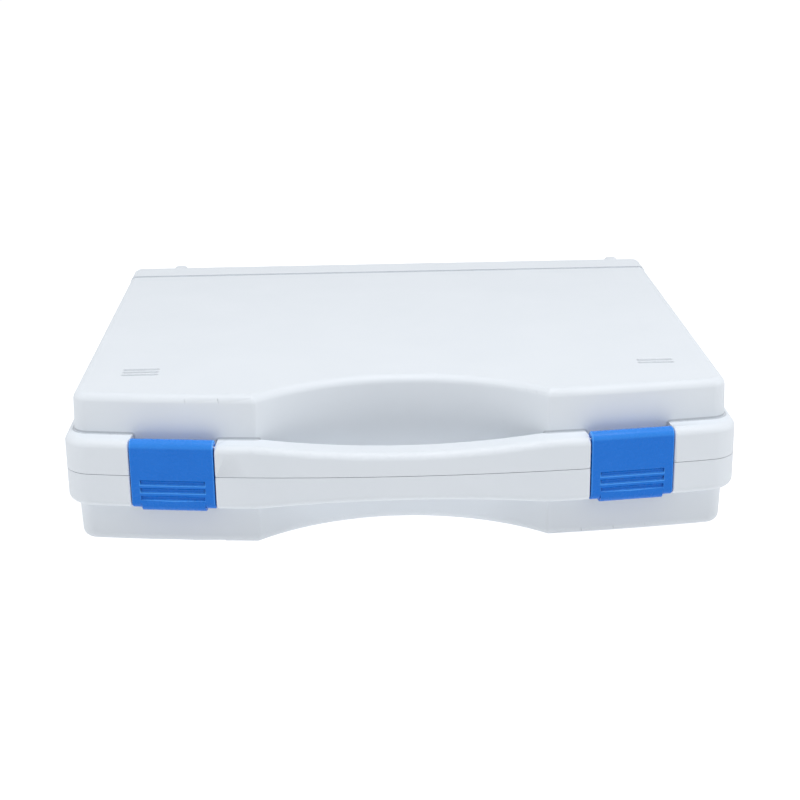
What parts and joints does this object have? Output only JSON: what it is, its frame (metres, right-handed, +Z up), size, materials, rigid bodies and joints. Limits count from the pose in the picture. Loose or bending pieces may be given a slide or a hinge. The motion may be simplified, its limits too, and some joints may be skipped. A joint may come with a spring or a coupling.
{
  "type": "plastic transit case",
  "caption": "Slim hinged transit case of light grey plastic, with a bowed carrying handle moulded into its rim and blue latches beside it.",
  "frame": {"origin": "on the surface that the closed case lies on, under the middle of its box", "axes": "+X along the handle, to the right as the handle is faced; +Y from the handle to the hinges; +Z up through the lid"},
  "size_m": [0.338, 0.297, 0.0791],
  "materials": {
    "shell_grey": "fine satin moulding grain",
    "latch_blue": "satin",
    "pin_steel": "bright drawn wire"
  },
  "bodies": {
    "base": {"base_shell": "shell_grey", "hinge_pin_left": "pin_steel", "hinge_pin_right": "pin_steel"},
    "lid": {"lid_shell": "shell_grey", "latch_pin_left": "pin_steel", "latch_pin_right": "pin_steel"},
    "left_latch": {"latch_left": "latch_blue"},
    "right_latch": {"latch_right": "latch_blue"}
  },
  "joints": [
    {"name": "lid_hinge", "type": "hinge", "parent": "base", "child": "lid", "pos_m": [0, 0.145, 0.0405], "axis": [-1, 0, 0], "range_deg": [0, 110]},
    {"name": "left_latch_pivot", "type": "hinge", "parent": "lid", "child": "left_latch", "pos_m": [-0.11373, -0.13715, 0.0545], "axis": [-0.9919, 0.1269, 0], "range_deg": [0, 170]},
    {"name": "right_latch_pivot", "type": "hinge", "parent": "lid", "child": "right_latch", "pos_m": [0.11373, -0.13715, 0.0545], "axis": [-0.9919, -0.1269, 0], "range_deg": [0, 170]}
  ]
}
